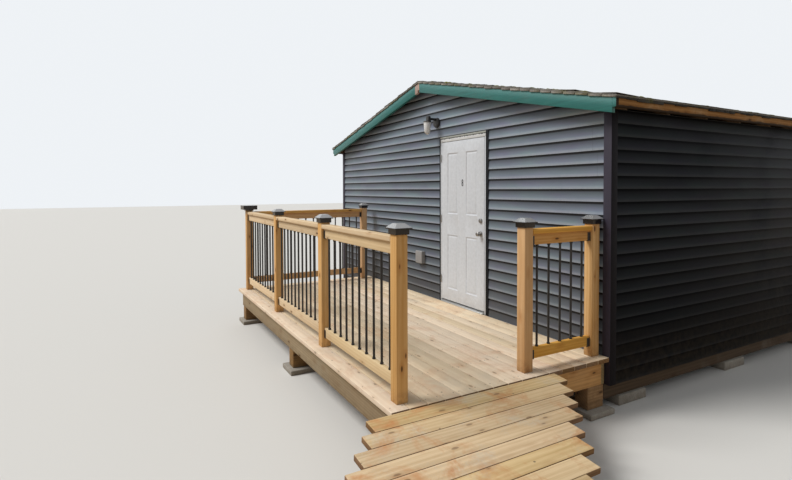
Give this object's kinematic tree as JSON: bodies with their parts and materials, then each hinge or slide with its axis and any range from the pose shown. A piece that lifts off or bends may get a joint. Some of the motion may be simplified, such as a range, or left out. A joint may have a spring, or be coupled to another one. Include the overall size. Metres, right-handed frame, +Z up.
{
  "type": "studio cottage",
  "caption": "Small gabled timber cottage with lap siding, a panelled door, a raised deck with railings and a slatted ramp.",
  "frame": {"origin": "middle of the whole outline seen from above, at ground level under the blocks", "axes": "+Z up, front gable and deck face -Y, +X to the right seen from the front"},
  "size_m": [7.7058, 8.029, 3.4249],
  "materials": {
    "concrete": "pale cast concrete, rough and weathered",
    "framing": "sawn softwood framing",
    "treated_post": "orange-brown treated timber, dry grain",
    "deck_timber": "pale weathered boards, dirty in the grain",
    "wall_panel": "plain sheathed wall, painted inside",
    "siding": "grey lap siding, matt, dark in its laps",
    "corner_trim": "purple-brown trim, matt",
    "fascia": "teal green paint, slightly worn",
    "raw_timber": "bare brown timber, weathered and stained",
    "sheathing": "strand board",
    "shingle": "grey mineral shingles with moss",
    "door_paint": "off-white paint, dirty at the foot",
    "sill_metal": "dull mill finish",
    "hinge_steel": "satin",
    "lock_metal": "satin, dark in its edges",
    "black_metal": "black powder coat",
    "shade_glass": "frosted grey-white glass",
    "box_grey": "grey moulded box"
  },
  "bodies": {
    "cottage": {"foundation_blocks": "concrete", "floor_skids": "treated_post", "floor_frame": "framing", "floor_deck": "sheathing", "front_wall_left": "wall_panel", "front_wall_right": "wall_panel", "front_wall_over_door": "wall_panel", "back_wall": "wall_panel", "left_wall": "wall_panel", "right_wall": "wall_panel", "front_siding": "siding", "back_siding": "siding", "side_siding": "siding", "corner_trims": "corner_trim", "ridge_board": "framing", "roof_rafters": "framing", "roof_sheathing": "sheathing", "barge_boards": "fascia", "eave_boards": "raw_timber", "roof_shingles": "shingle", "ridge_cap": "shingle", "door_frame": "door_paint", "door_sill": "sill_metal", "frame_hinges": "hinge_steel", "lantern_mount": "black_metal", "lantern_shade": "shade_glass", "outlet_box": "box_grey", "deck_boards": "deck_timber", "deck_frame": "deck_timber", "deck_legs": "treated_post", "railing_posts": "treated_post", "post_caps": "black_metal", "railing_front_right": "treated_post", "railing_front_middle": "treated_post", "railing_front_left": "treated_post", "railing_left_end": "treated_post", "railing_right_end": "treated_post", "rail_brackets": "black_metal", "ramp_boards": "deck_timber", "ramp_stringers": "deck_timber", "ramp_trestles": "treated_post"},
    "door": {"door_slab": "door_paint", "door_hinges": "hinge_steel", "door_lock": "lock_metal"},
    "knob": {"door_knob": "lock_metal"}
  },
  "joints": [
    {"name": "door_hinge", "type": "hinge", "parent": "cottage", "child": "door", "pos_m": [-0.42441, -0.4215, 1.43], "axis": [0, 0, -1], "range_deg": [0, 150]},
    {"name": "knob_turn", "type": "hinge", "parent": "door", "child": "knob", "pos_m": [0.38209, -0.4244, 1.43], "axis": [0, -1, 0], "range_deg": [0, 45]}
  ]
}
